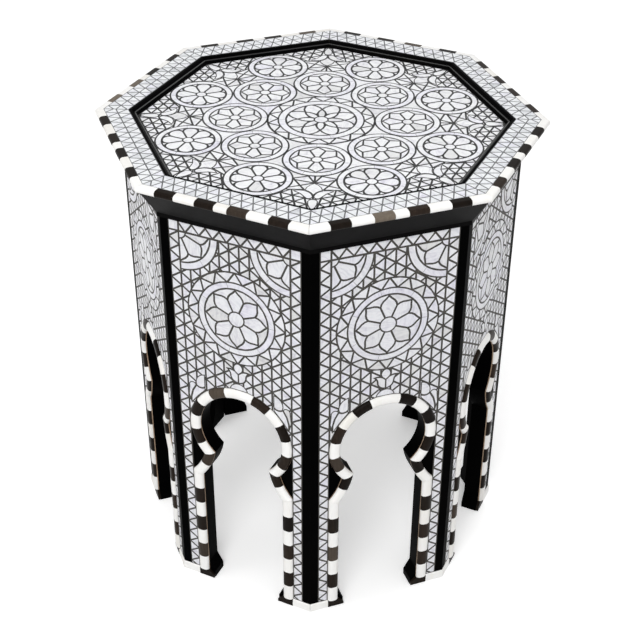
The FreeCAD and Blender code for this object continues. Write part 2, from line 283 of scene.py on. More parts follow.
def outline(moves, height):
    """Flat face drawn by a pen: a move is a point for a line, or (via, end) for an arc."""
    bm = blank()
    pen = bm.verts.new((*moves[0], height))
    here = moves[0]
    for move in moves[1:]:
        if isinstance(move[0], tuple):
            centre, turn = circle_through(here, *move)
            swept = bmesh.ops.spin(bm, geom=[pen], cent=(*centre, height), axis=(0, 0, 1),
                                   angle=turn, steps=max(2, round(abs(turn) / ARC_STEP)))
            pen = [g for g in swept["geom_last"] if isinstance(g, bmesh.types.BMVert)][0]
            here = move[1]
        else:
            pen = bmesh.ops.extrude_vert_indiv(bm, verts=[pen])["verts"][0]
            pen.co = (*move, height)
            here = move
    bmesh.ops.remove_doubles(bm, verts=bm.verts[:], dist=1e-3)
    ends = [vert for vert in bm.verts if len(vert.link_edges) == 1]
    if ends:
        bm.edges.new(ends)
    bmesh.ops.edgeloop_fill(bm, edges=bm.edges[:])
    return bm


def pull(bm, faces, way):
    """Extrude faces a given way, and give the faces at the new end."""
    made = bmesh.ops.extrude_face_region(bm, geom=faces)["geom"]
    bmesh.ops.translate(bm, verts=[g for g in made if isinstance(g, bmesh.types.BMVert)], vec=way)
    return [g for g in made if isinstance(g, bmesh.types.BMFace)]


def thicken(bm, height):
    """Turn a flat shape into a closed plate with filler on its sides, and give its top faces."""
    top = pull(bm, bm.faces[:], (0, 0, height))
    bmesh.ops.recalc_face_normals(bm, faces=bm.faces[:])
    for face in bm.faces:
        face.material_index = FILLER
    return top


def set_in_filler(bm, faces, line, lift):
    """Shrink each face to a piece of shell, leaving a border of filler round it.

    An edge too short to shrink would turn over, so its two ends are drawn into one point."""
    pieces = []
    for face in faces:
        wide = 2 * face.calc_area() / sum(edge.calc_length() for edge in face.edges)
        if wide > NARROWEST * line:
            pieces.append(face)
        else:
            face.material_index = FILLER
    border = bmesh.ops.inset_individual(bm, faces=pieces, thickness=line, depth=lift,
                                        use_even_offset=True)
    for face in pieces:
        face.material_index = PEARL
    crossed = []
    for face in border["faces"]:
        face.material_index = FILLER
        for near in face.loops:
            far = near.link_loop_next.link_loop_next
            along = near.link_loop_next.vert.co - near.vert.co
            if near.link_loop_radial_next.face.material_index == PEARL:
                if along.dot(far.link_loop_next.vert.co - far.vert.co) > 0:
                    crossed.append(near.edge)
    bmesh.ops.collapse(bm, edges=crossed)


def everything(faces):
    """Faces with their edges and corners, each once and in the order of the faces."""
    edges = dict.fromkeys(edge for face in faces for edge in face.edges)
    verts = dict.fromkeys(vert for face in faces for vert in face.verts)
    return [*faces, *edges, *verts]


def add_part(bm, part, matrices=(Matrix.Identity(4),)):
    """Put a copy of a finished mesh into another one for each matrix."""
    for matrix in matrices:
        spare = bpy.data.meshes.new("spare")
        part.to_mesh(spare)
        spare.transform(matrix)
        if matrix.determinant() < 0:
            spare.flip_normals()
        bm.from_mesh(spare)
        bpy.data.meshes.remove(spare)


def repeat_round(bm, centre, copies):
    """Copies of everything in a mesh, turned evenly round a centre."""
    bmesh.ops.spin(bm, geom=everything(bm.faces[:]), cent=(*centre, 0), axis=(0, 0, 1),
                   angle=2 * math.pi * (copies - 1) / copies, steps=copies - 1, use_duplicate=True)


def tile(bm, moves, base, line, height=0.1, lift=0.05, around=None, copies=1, margin=0):
    """One piece of shell with its border, and copies of it turned evenly round a centre.

    A margin is a border of filler outside the drawn outline."""
    part = outline(moves, base)
    if margin:
        grown = bmesh.ops.inset_individual(part, faces=part.faces[:], thickness=-margin,
                                           use_even_offset=True)
        bmesh.ops.delete(part, geom=grown["faces"], context="FACES")
    set_in_filler(part, thicken(part, height), line + margin, lift)
    if copies > 1:
        repeat_round(part, around, copies)
    add_part(bm, part)
    part.free()


def disc(bm, centre, radius, base, height, material):
    """Round plate."""
    part = bmesh.new()
    bmesh.ops.create_circle(part, cap_ends=True, radius=radius, segments=48,
                            matrix=Matrix.Translation((*centre, base)))
    thicken(part, height)[0].material_index = material
    add_part(bm, part)
    part.free()


def band(bm, centre, inner, outer, base):
    """Flat ring of shell, sawn in a few lengths of slightly different tone with hairline joints."""
    part = blank()
    ends = [part.verts.new((centre[0] + radius, centre[1], base)) for radius in (inner, outer)]
    edge = part.edges.new(ends)
    turn = 2 * math.pi / RING_LENGTHS
    bmesh.ops.spin(part, geom=ends + [edge], cent=(*centre, base), axis=(0, 0, 1),
                   angle=turn - RING_JOINT / outer, steps=8)
    for face in thicken(part, RING_HEIGHT):
        face.material_index = PEARL
    repeat_round(part, centre, RING_LENGTHS)
    length_tones = [chance.uniform(0.65, 1.0) for length in range(RING_LENGTHS)]
    tones = part.faces.layers.float["tone"]
    for face in part.faces:
        middle = face.calc_center_median()
        angle = math.atan2(middle.y - centre[1], middle.x - centre[0]) % (2 * math.pi)
        face[tones] = length_tones[min(RING_LENGTHS - 1, int(angle / turn))]
    add_part(bm, part)
    part.free()


def ring_and_eye(bm, centre, eye, inner, outer, line, level):
    """Flat ring and round eye of a rosette, drawn in a little from the lines of filler."""
    band(bm, centre, inner + RING_INSET * line, outer - RING_INSET * line, level)
    disc(bm, centre, eye - EYE_INSET * line, level, RING_HEIGHT, PEARL)


def front(bm, test=None):
    """Top faces that are still uncut shell, or those of them whose middle passes a test."""
    faces = [face for face in bm.faces if face.normal.z > 0.9]
    return [face for face in faces if test is None or test(face.calc_center_median())]


def cut(bm, point, degrees, test=None):
    """Saw the top faces that pass a test along a straight line through a point."""
    normal = polar(1, degrees + 90)
    bmesh.ops.bisect_plane(bm, geom=everything(front(bm, test)), dist=0.02, plane_co=(*point, 0),
                           plane_no=(*normal, 0))


# Petal edges, as moves from the end of the seam between two petals to the tip
def straight_side(seam, tip, half, turn, mirror=1):
    return [polar(tip, turn + mirror * half)]


def rounded_side(seam, tip, half, turn, mirror=1):
    via = polar(seam + 0.74 * (tip - seam), turn + mirror * 0.33 * half)
    return [(via, polar(tip, turn + mirror * half))]


def ogee_side(seam, tip, half, turn, mirror=1):
    swell = polar(seam + 0.27 * (tip - seam), turn + mirror * 0.2 * half)
    middle = polar(seam + 0.50 * (tip - seam), turn + mirror * 0.45 * half)
    hollow = polar(seam + 0.70 * (tip - seam), turn + mirror * 0.74 * half)
    return [(swell, middle), (hollow, polar(tip, turn + mirror * half))]


def backwards(start, moves):
    """The same run of moves from its other end."""
    run = []
    for move in moves:
        arc = isinstance(move[0], tuple)
        run.insert(0, (move[0], start) if arc else start)
        start = move[1] if arc else move
    return run


def each_point(moves, change):
    """The same moves with every point changed."""
    return [tuple(change(p) for p in m) if isinstance(m[0], tuple) else change(m) for m in moves]


def moved(moves, centre):
    return each_point(moves, lambda p: (p[0] + centre[0], p[1] + centre[1]))


def mirrored(moves):
    return each_point(moves, lambda p: (-p[0], p[1]))


def rosette(bm, centre, eye, seam, tip, inner, outer, side, line, base, first=0.0, gusset=None):
    """Eight petals round an eye, inside a ring. Seams between petals start at the angle first.

    The corners between petals reach from tip to tip, or by the angle gusset beside each seam."""
    half = 180 / SIDES
    step = 2 * half
    disc(bm, centre, outer + line, base, BED, FILLER)
    level = base + BED
    ring_and_eye(bm, centre, eye, inner, outer, line, level)

    start = polar(seam, first)
    out = side(seam, tip, half, first)
    end = polar(seam, first + step)
    back = backwards(end, side(seam, tip, half, first + step, -1))
    petal = [polar(eye, first), start] + out + back + [polar(eye, first + step)]
    petal.append((polar(eye, first + half), polar(eye, first)))
    tile(bm, moved(petal, centre), level, line, around=centre, copies=SIDES)

    if gusset:
        depth = 0.45 * seam + 0.55 * inner
        hollow, other = (polar(depth, first + 0.36 * turn) for turn in (gusset, -gusset))
        corner = [start, (hollow, polar(inner, first + gusset)),
                  (polar(inner, first), polar(inner, first - gusset)), (other, start)]
    else:
        left = backwards(start, side(seam, tip, half, first, -1))
        ring = (polar(inner, first), polar(inner, first - half))
        corner = [start] + out + [polar(inner, first + half), ring, polar(tip, first - half)] + left
    tile(bm, moved(corner, centre), level, line, around=centre, copies=SIDES)


def triangle_ring(bm, centre, inner, outer, count, line, base, first):
    """Triangles in and out between two circles; the outer points start at the angle first."""
    half = 180 / count
    inward = [polar(outer, first), (polar(outer, first + half), polar(outer, first + 2 * half)),
              polar(inner, first + half)]
    outward = [polar(inner, first - half), (polar(inner, first), polar(inner, first + half)),
               polar(outer, first)]
    for moves in (inward, outward):
        tile(bm, moved(moves, centre), base, line, around=centre, copies=count)


def give_tones(bm):
    """Every piece of shell has a tone of its own, most of them bright."""
    tones = bm.faces.layers.float["tone"]
    for face in bm.faces:
        if face.material_index == PEARL and face[tones] == 0:
            face[tones] = chance.betavariate(2.2, 2.2)


def add_piece(name, bm, materials, slot, *replaced):
    """Finish a mesh drawn in millimetres as an object that rides on the table."""
    bmesh.ops.scale(bm, verts=bm.verts, vec=(MM, MM, MM))
    mesh = bpy.data.meshes.new(name)
    bm.to_mesh(mesh)
    bm.free()
    for material in materials:
        mesh.materials.append(material)
    piece = bpy.data.objects.new(name, mesh)
    bpy.context.scene.collection.objects.link(piece)
    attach(piece, "root")
    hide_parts(*replaced)


FACE_FLAT = 198.05
SHEET = 1.5
FOOT_TOP = 11.0
PANEL_TOP = 479.8
ROW_FOOT = 467.5
ROW_TIPS = 477.6
PANEL_EDGE = 72.53
GAP_EDGE = 61.03
ARCH_CENTRE = 230.2
ROW_TEETH = 8
COLUMNS = 11
JUNCTION = 15.84
MIDDLE_SLANTS = range(-7, 37)
BORDER_SLANTS = range(30)
MOTIF_BASE = 0.07
MOTIF_HEIGHT = 0.2
PANEL_LINE = 1.06
# Shell of the upright panels; the same shell on the top's rim and field is given lighter colours,
# as painted light.
panel_pearl = shell("panel_pearl", (0.69, 0.685, 0.675), (0.82, 0.82, 0.85), (0.78, 0.77, 0.85))
panel_filler = filler("panel_filler", (0.021, 0.0187, 0.016), (0.047, 0.042, 0.035))


def panel_lattice(bm):
    """Border strips, top row and lattice of triangles, sawn from three plain sheets."""
    def sheet(moves):
        part = outline(moves, -SHEET)
        thicken(part, SHEET)
        add_part(bm, part)
        part.free()

    for edge in (PANEL_EDGE, -PANEL_EDGE):
        inner = math.copysign(GAP_EDGE, edge)
        sheet([(inner, FOOT_TOP), (edge, FOOT_TOP), (edge, PANEL_TOP), (inner, PANEL_TOP)])
    crown = (0, ARCH_CENTRE + GAP_EDGE)
    sheet([(GAP_EDGE, ARCH_CENTRE), (GAP_EDGE, PANEL_TOP), (-GAP_EDGE, PANEL_TOP),
           (-GAP_EDGE, ARCH_CENTRE), (crown, (GAP_EDGE, ARCH_CENTRE))])
    cut(bm, (0, ROW_FOOT), 0)

    row_pitch = 2 * GAP_EDGE / ROW_TEETH
    slope = math.degrees(math.atan2(ROW_TIPS - ROW_FOOT, row_pitch / 2))
    for index in range(-ROW_TEETH // 2, ROW_TEETH // 2 + 1):
        for lean in (slope, -slope):
            cut(bm, (index * row_pitch, ROW_TIPS), lean,
                lambda p: p.y > ROW_FOOT and abs(p.x) < GAP_EDGE)

    column = 2 * GAP_EDGE / COLUMNS
    slope = math.degrees(math.atan2(JUNCTION / 2, column))
    for index in range(1, COLUMNS):
        cut(bm, (-GAP_EDGE + index * column, 0), 90, lambda p: p.y < ROW_FOOT)
    for index in MIDDLE_SLANTS:
        for lean in (slope, -slope):
            cut(bm, (-GAP_EDGE, ROW_FOOT - index * JUNCTION), lean,
                lambda p: p.y < ROW_FOOT and abs(p.x) < GAP_EDGE)
    slope = math.degrees(math.atan2(JUNCTION / 2, PANEL_EDGE - GAP_EDGE))
    for index in BORDER_SLANTS:
        for lean in (slope, -slope):
            cut(bm, (-GAP_EDGE, ROW_FOOT - index * JUNCTION), lean,
                lambda p: p.y < ROW_FOOT and p.x < -GAP_EDGE)
            cut(bm, (GAP_EDGE, ROW_FOOT - (index - 0.5) * JUNCTION), lean,
                lambda p: p.y < ROW_FOOT and p.x > GAP_EDGE)
    set_in_filler(bm, front(bm), PANEL_LINE, lift=0.06)


def quarter_rosette():
    """Corner rosette: a whole one, sawn down to the quarter that fits the panel's corner."""
    bm = blank()
    rosette(bm, (0, 0), eye=7.6, seam=25.8, tip=34.4, inner=35.4, outer=43.4, side=ogee_side,
            line=PANEL_LINE, base=0.0, first=22.5)
    for normal in ((1, 0, 0), (0, -1, 0)):
        bmesh.ops.bisect_plane(bm, geom=everything(bm.faces[:]), dist=1e-4, clear_inner=True,
                               plane_co=Vector(normal) * PANEL_LINE, plane_no=normal)
        filled = bmesh.ops.holes_fill(bm, edges=[edge for edge in bm.edges if edge.is_boundary])
        for face in filled["faces"]:
            face.material_index = FILLER

    def outward(face):
        middle = face.calc_center_median()
        return middle.length + middle.x / 2

    # Sawing leaves the pieces in no fixed order, and tones are dealt out in order
    bm.faces.sort(key=outward)
    return bm


def panel_motifs(bm):
    """Rosette in a ring of triangles, bud, cap over the crown and palm leaves on the shoulders."""
    middle = (0, 380.1)
    ring, points = 43.2, 55.2
    disc(bm, middle, points + EYE_INSET * PANEL_LINE, MOTIF_BASE, BED, FILLER)
    triangle_ring(bm, middle, ring, points, count=16, line=PANEL_LINE, base=MOTIF_BASE + BED,
                  first=90)
    rosette(bm, middle, eye=8.7, seam=23.3, tip=34.4, inner=36.0, outer=ring, side=ogee_side,
            line=PANEL_LINE, base=MOTIF_BASE + BED / 2, first=22.5)

    bulb = [(0, 325.3), ((5.2, 320.3), (3.6, 314.7)), (0, 311.5), (-3.6, 314.7),
            ((-5.2, 320.3), (0, 325.3))]
    leaf = [(0, 311.5), (0, 300.7), ((7.1, 303.9), (8.8, 309.5)), ((10.1, 313.5), (12.3, 315.9)),
            ((7.5, 316.1), (3.6, 314.7))]
    cap = [(10.7, 290.7), ((0, 299.6), (-10.7, 290.7))]
    tail, fork, root = (58.0, 255.5), (51.0, 281.9), (40.2, 282.4)
    upper = [(40.2, 298.3), ((49.0, 293.5), fork), ((45.5, 279.7), root)]
    outer = [fork, ((55.0, 285.0), (59.8, 279.4)), ((60.9, 267.0), tail), ((57.0, 269.0), fork)]
    inner = [root, ((45.5, 279.7), fork), ((57.0, 269.0), tail), ((50.8, 265.7), (40.6, 277.4))]
    for moves in (bulb, leaf, mirrored(leaf)):
        tile(bm, moves, MOTIF_BASE, 0.8 * PANEL_LINE, MOTIF_HEIGHT, margin=0.9 * PANEL_LINE)
    for moves in (cap, upper, mirrored(upper), outer, mirrored(outer), inner, mirrored(inner)):
        tile(bm, moves, MOTIF_BASE, PANEL_LINE, MOTIF_HEIGHT)


def panel_inlay():
    bm = blank()
    panel_lattice(bm)
    corner = quarter_rosette()
    place = Matrix.Translation((-GAP_EDGE, ROW_FOOT, MOTIF_BASE))
    add_part(bm, corner, [half @ place for half in HALVES])
    corner.free()
    panel_motifs(bm)
    return bm


UPRIGHT = Matrix.Rotation(math.pi / 2, 4, "X")


def on_side(side):
    """From a drawing on the flat to the face of one side of the table."""
    return TURNS[side] @ Matrix.Translation((0, -FACE_FLAT, 0)) @ UPRIGHT


one_panel = panel_inlay()
for side in range(SIDES):
    bm = bmesh.new()
    add_part(bm, one_panel, [on_side(side)])
    give_tones(bm)
    add_piece("panel_inlay_" + NUMBERS[side], bm, [panel_pearl, panel_filler], "pearl_panel",
              "panel_mosaic_" + NUMBERS[side])


# Arch trim: short half-round lengths of camel bone and of dark hardwood in turn, glued along the
# edge of each arch and mitred where it turns, at the point of the cusp and at the knee below it.
def streaked(tree, scale, detail, roughness):
    """Tone of a piece, and long streaks that start at another place in each piece."""
    tone = tone_of_piece(tree)
    long_way = add(tree, "ShaderNodeMapping", Vector=place_on_piece(tree), Scale=scale)
    streaks = add(tree, "ShaderNodeTexNoise", {"noise_dimensions": "4D"},
                  Vector=long_way.outputs["Vector"], W=value_range(tree, tone, 0.0, 60.0),
                  Scale=1.0, Detail=detail, Roughness=roughness)
    return tone, streaks.outputs["Fac"]


def bone_finish():
    """Polished bone: warm white, with fine pores and faint long streaks."""
    material, tree, bsdf = new_material("camel_bone")
    tone, streaks = streaked(tree, (160.0, 160.0, 30.0), detail=4.0, roughness=0.5)
    streak = ramp(tree, streaks,
                  [(0.3, (0.95, 0.93, 0.89)), (0.55, (1, 1, 1)), (0.8, (0.97, 0.94, 0.92))])
    body = ramp(tree, tone, [(0.0, (0.89, 0.87, 0.83)), (0.3, (0.965, 0.96, 0.945)),
                             (1.0, (0.955, 0.95, 0.935))])
    colour = tinted(tree, body, streak, share=0.55)
    surface(tree, bsdf, colour, streaks, (0.28, 0.45), relief=0.1, depth=0.0003)
    return material


def dark_wood_finish():
    """Dark hardwood under a thin polish: brown-black streaks, and a few pieces much browner."""
    material, tree, bsdf = new_material("dark_hardwood")
    tone, streaks = streaked(tree, (420.0, 420.0, 60.0), detail=5.0, roughness=0.65)
    deep = ramp(tree, tone, [(0.0, (0.0026, 0.0018, 0.0013)), (0.6, (0.0072, 0.0048, 0.0034)),
                             (0.88, (0.0155, 0.0105, 0.0078)), (1.0, (0.14, 0.113, 0.088))])
    pale = ramp(tree, tone, [(0.0, (0.0085, 0.0058, 0.0042)), (0.6, (0.0215, 0.0145, 0.0103)),
                             (0.88, (0.037, 0.0255, 0.019)), (1.0, (0.25, 0.21, 0.165))])
    colour = add(tree, "ShaderNodeMix", {"data_type": "RGBA"},
                 Factor=value_range(tree, streaks, -0.4, 1.4), A=deep, B=pale).outputs["Result"]
    surface(tree, bsdf, colour, streaks, (0.3, 0.5), relief=0.2, depth=0.0003,
            Specular_IOR_Level=0.05)
    return material


bone = bone_finish()
dark_wood = dark_wood_finish()
glue_edge = timber("glue_edge", (0.46, 0.34, 0.24), (0.30, 0.20, 0.13))

JAMB = 48.93
TRIM = 11.9
TRIM_OUTER = JAMB + TRIM
TRIM_SECTION = [(0, -1.5), (0, -0.3), (0.35, 1.2), (1.7, 2.7), (3.9, 3.5), (8.0, 3.5),
                (10.2, 2.7), (11.55, 1.2), (11.9, -0.3), (11.9, -1.5)]
GLUE_LINE = -0.3
CUSP = (33.03, 194.1)
KNEE = (JAMB, 158.2)
CUSP_NOTCH = (45.97, 190.36)
KNEE_NOTCH = (TRIM_OUTER, 162.54)
LIMB_SWELL = (38.7, 175.14)
CROWN_HALF = 16.5
RING_PIECES = 6
PAST_CUSP = 8
UNDER_CUSP = 21.0
UNDER_KNEE = 20.7
LEG_PIECES = 6
SEAM_SHADE = 0.08
BEND_STEP = 0.1
TRIM_ARRIS = 0.9


def trim_end(bm, place):
    """Half-round end of a length of trim; place gives a point from across and height."""
    return bm.faces.new([bm.verts.new(place(across, height)) for across, height in TRIM_SECTION])


def straight_length(z0, z1):
    bm = bmesh.new()
    end = trim_end(bm, lambda across, height: (JAMB + across, z0 + SEAM_SHADE, height))
    pull(bm, [end], (0, z1 - z0 - 2 * SEAM_SHADE, 0))
    return bm


def curved_length(centre, radius, outward, start, end):
    """Length of trim round a centre, between two angles in degrees."""
    bm = bmesh.new()
    shade = math.copysign(math.degrees(SEAM_SHADE / radius), end - start)
    start, end = start + shade, end - shade
    face = trim_end(bm, lambda across, up: (*polar(radius + outward * across, start, centre), up))
    turn = math.radians(end - start)
    bmesh.ops.spin(bm, geom=[face], cent=(*centre, 0), axis=(0, 0, 1), angle=turn,
                   steps=max(2, round(abs(turn) / BEND_STEP)))
    return bm


def mitre(bm, inner, outer, keep):
    """Saw a length off just short of the line between two points, keeping the side of a third."""
    along = Vector((outer[0] - inner[0], outer[1] - inner[1], 0))
    across = Vector((-along.y, along.x, 0)).normalized()
    toward = Vector((keep[0] - inner[0], keep[1] - inner[1], 0))
    if across.dot(toward) > 0:
        across = -across
    short = Vector((*inner, 0)) - 2 * SEAM_SHADE * across
    done = bmesh.ops.bisect_plane(bm, geom=everything(bm.faces[:]), dist=1e-5, plane_co=short,
                                  plane_no=across, clear_outer=True)
    edges = [g for g in done["geom_cut"] if isinstance(g, bmesh.types.BMEdge)]
    bmesh.ops.holes_fill(bm, edges=edges)
    return bm


def angle_from(centre, point):
    return math.degrees(math.atan2(point[1] - centre[1], point[0] - centre[0])) % 360


def arch_lengths():
    """Bone and dark wood lengths on the right half of an arch, and the bone crown."""
    middle = (0, ARCH_CENTRE)
    crown_end = 90 - CROWN_HALF
    cusp_angle = angle_from(middle, CUSP) - 360
    crown = curved_length(middle, JAMB, 1, crown_end, 180 - crown_end)
    light, dark = [], []
    pitch = (crown_end - cusp_angle) / RING_PIECES
    for index in range(RING_PIECES):
        start = crown_end - pitch * index
        last = index == RING_PIECES - 1
        length = curved_length(middle, JAMB, 1, start, start - pitch - (PAST_CUSP if last else 0))
        if last:
            mitre(length, CUSP, CUSP_NOTCH, middle)
        (light if index % 2 else dark).append(length)

    limb = circle_through(KNEE, LIMB_SWELL, CUSP)[0]
    radius = math.dist(limb, CUSP)
    top, low = angle_from(limb, CUSP), angle_from(limb, KNEE)
    seam = top + math.degrees(UNDER_CUSP / radius)
    beyond = math.degrees(TRIM / radius)
    dark.append(mitre(curved_length(limb, radius, -1, top - beyond, seam), CUSP, CUSP_NOTCH, KNEE))
    light.append(mitre(curved_length(limb, radius, -1, seam, low + beyond), KNEE, KNEE_NOTCH, CUSP))

    leg_foot = KNEE[1] - UNDER_KNEE
    light.append(mitre(straight_length(leg_foot, KNEE[1] + TRIM), KNEE, KNEE_NOTCH, (JAMB, 0)))
    pitch = (leg_foot - FOOT_TOP) / LEG_PIECES
    for index in range(LEG_PIECES):
        length = straight_length(leg_foot - pitch * (index + 1), leg_foot - pitch * index)
        (light if index % 2 else dark).append(length)
    return crown, light, dark


def smooth_rounds(bm, arris):
    """Smooth the rounded parts, and keep each edge sharp that turns by more than an arris."""
    bmesh.ops.recalc_face_normals(bm, faces=bm.faces)
    for face in bm.faces:
        face.smooth = True
    for edge in bm.edges:
        edge.smooth = edge.calc_face_angle(0) < arris


def finish_length(bm):
    """Smooth a length of trim, and show glue along the foot of both sides."""
    smooth_rounds(bm, TRIM_ARRIS)
    for face in bm.faces:
        low = max(vert.co.z for vert in face.verts) < GLUE_LINE + 0.01
        face.material_index = 1 if low else 0


def all_sides(lengths, matrices, palest=1.0):
    """The same lengths on every side, each with a tone of its own."""
    bm = blank()
    tones = bm.faces.layers.float["tone"]
    for matrix in matrices:
        for length in lengths:
            known = len(bm.faces)
            add_part(bm, length, [matrix])
            bm.faces.ensure_lookup_table()
            tone = chance.uniform(0, palest)
            for face in bm.faces[known:]:
                face[tones] = tone
    return bm


crown, light_lengths, dark_lengths = arch_lengths()
for length in [crown] + light_lengths + dark_lengths:
    finish_length(length)
halves = [on_side(side) @ half for side in range(SIDES) for half in HALVES]
arch_bone = all_sides(light_lengths, halves)
crowns = all_sides([crown], [on_side(side) for side in range(SIDES)])
add_part(arch_bone, crowns)
add_piece("arch_bone_lengths", arch_bone, [bone, glue_edge], "bone", "arch_bone")
add_piece("arch_dark_lengths", all_sides(dark_lengths, halves, palest=0.92), [dark_wood, glue_edge],
          "dark_wood", "arch_dark_wood")


# Foot band: flat bone mitred round each corner post, and dark hardwood cut to the slanted toe of
# the arch. Both are glued on just clear of the floor, with the upper edge eased.
FOOT_LIFT = 0.6
FOOT_FRONT = 199.65
FOOT_BACK = 196.55
FOOT_EASE = 1.2
FOOT_SECTION = [(FOOT_BACK, FOOT_LIFT), (FOOT_FRONT, FOOT_LIFT), (FOOT_FRONT, FOOT_TOP - FOOT_EASE),
                (FOOT_FRONT - FOOT_EASE, FOOT_TOP), (FOOT_BACK, FOOT_TOP)]
TOE_REACH = 7.2
TOE_TIP = 4.0
PAST_CORNER = 4
ARRIS = 0.6
HALF_TAN = math.tan(math.pi / SIDES)
half_turns = [turn @ half for turn in TURNS for half in HALVES]


def moulded_length(section, start, end):
    """Length along the front side from a section of (out, up) points, a hair short at both ends."""
    bm = bmesh.new()
    face = bm.faces.new([bm.verts.new((start + SEAM_SHADE, -out, up)) for out, up in section])
    pull(bm, [face], (end - start - 2 * SEAM_SHADE, 0, 0))
    return bm


def corner_length(section, start, nose):
    """Moulded length that runs to the corner of the table and is mitred there."""
    bm = moulded_length(section, start, nose * HALF_TAN + PAST_CORNER)
    return mitre(bm, (0, 0), (nose * HALF_TAN, -nose), (0, -nose))


def toe_length():
    """Dark length under the jamb, its end sawn to the slant of the toe."""
    bm = moulded_length(FOOT_SECTION, JAMB - TOE_REACH, TRIM_OUTER)
    slant = (TOE_TIP - FOOT_TOP, 0, TOE_REACH)
    bmesh.ops.bisect_plane(bm, geom=everything(bm.faces[:]), dist=1e-5, clear_outer=True,
                           plane_co=(JAMB, 0, FOOT_TOP), plane_no=slant)
    bmesh.ops.holes_fill(bm, edges=[edge for edge in bm.edges if edge.is_boundary])
    return bm


foot_corner = corner_length(FOOT_SECTION, TRIM_OUTER, FOOT_FRONT)
foot_toe = toe_length()
for length in (foot_corner, foot_toe):
    smooth_rounds(length, ARRIS)
foot_bone = all_sides([foot_corner], half_turns, palest=0.8)
add_piece("foot_bone_band", foot_bone, [bone], "bone", "foot_bone")
foot_dark = all_sides([foot_toe], half_turns, palest=0.8)
add_piece("foot_dark_band", foot_dark, [dark_wood], "dark_wood", "foot_dark_wood")


# Rim of the top: two rows of shell triangles in a thin pale grey filler.
# They are glued in a strip on each of the eight rails, and the strips are mitred at the corners.
RIM_OUTER = 213.4
TRAY_EDGE = 188.6
RIM_TOP = 519.85
RIM_SHEET = 1.3
RIM_PITCH = 12.2
RIM_SLANTS = range(-9, 10)
RIM_LINE = 0.66
# Same shell as on the side panels, painted lighter here: painted light on the upward-facing top.
rim_pearl_painted_lighter = shell("rim_pearl_painted_lighter", (0.66, 0.68, 0.70), (0.91, 0.925, 0.94), (0.86, 0.86, 0.93))
rim_filler = filler("rim_filler", (0.085, 0.088, 0.092), (0.16, 0.165, 0.17))


def rim_length():
    """Strip of one side, mitred at its ends and sawn along its middle and both slants."""
    corners = [(-TRAY_EDGE * HALF_TAN, -TRAY_EDGE), (-RIM_OUTER * HALF_TAN, -RIM_OUTER),
               (RIM_OUTER * HALF_TAN, -RIM_OUTER), (TRAY_EDGE * HALF_TAN, -TRAY_EDGE)]
    bm = outline(corners, RIM_TOP - RIM_SHEET)
    thicken(bm, RIM_SHEET)
    middle = (RIM_OUTER + TRAY_EDGE) / 2
    cut(bm, (0, -middle), 0)
    slope = math.degrees(math.atan2((RIM_OUTER - TRAY_EDGE) / 2, RIM_PITCH / 2))
    for index in RIM_SLANTS:
        for lean in (slope, -slope):
            cut(bm, (index * RIM_PITCH, -middle), lean)
    set_in_filler(bm, front(bm), RIM_LINE, lift=0.05)
    return bm


one_rim = rim_length()
bm = bmesh.new()
add_part(bm, one_rim, TURNS)
give_tones(bm)
add_piece("rim_inlay", bm, [rim_pearl_painted_lighter, rim_filler], "pearl_rim", "rim_mosaic")


# Edge of the top: short lengths of bone and dark hardwood in turn, glued round the rim, with bone
# mitred at each corner. The nose is rounded over and falls back a little underneath.
NOSE = 222.0
EDGE_SECTION = [(RIM_OUTER, 513.9), (RIM_OUTER, 520.0), (218.9, 520.0), (220.5, 519.6),
                (221.6, 518.6), (NOSE, 517.2), (221.9, 515.6), (221.4, 514.5), (220.7, 513.9)]
SEAM_1, SEAM_2, SEAM_3, SEAM_4 = 7.0, 27.6, 50.2, 70.8

edge_light = [moulded_length(EDGE_SECTION, SEAM_2, SEAM_3),
              corner_length(EDGE_SECTION, SEAM_4, NOSE)]
edge_dark = [moulded_length(EDGE_SECTION, SEAM_1, SEAM_2),
             moulded_length(EDGE_SECTION, SEAM_3, SEAM_4)]
edge_middle = moulded_length(EDGE_SECTION, -SEAM_1, SEAM_1)
for length in edge_light + edge_dark + [edge_middle]:
    smooth_rounds(length, ARRIS)
edge_bone = all_sides(edge_light, half_turns)
middles = all_sides([edge_middle], TURNS)
add_part(edge_bone, middles)
add_piece("edge_bone_lengths", edge_bone, [bone], "bone", "edge_bone")
add_piece("edge_dark_lengths", all_sides(edge_dark, half_turns), [dark_wood], "dark_wood",
          "edge_dark_wood")


# Field of the top: a large rosette ringed by eight smaller ones, and eight more against the edges,
# with a star, two leaves and a bud in each corner. It is sawn shell in dark filler, on the board.
FIELD = 179.9
FIELD_TOP = 513.3
FIELD_SHEET = 1.4
FIELD_BASE = FIELD_TOP + 0.06
FIELD_LINE = 1.03
INNER_ROSETTES = 91.1
OUTER_ROSETTES = 144.8
# Same shell as on the side panels, painted lighter here: painted light on the upward-facing top.
field_pearl_painted_lighter = shell("field_pearl_painted_lighter", (0.79, 0.79, 0.79), (0.95, 0.955, 0.965), (0.89, 0.885, 0.955))
field_filler = filler("field_filler", (0.006, 0.006, 0.0062), (0.016, 0.016, 0.016))


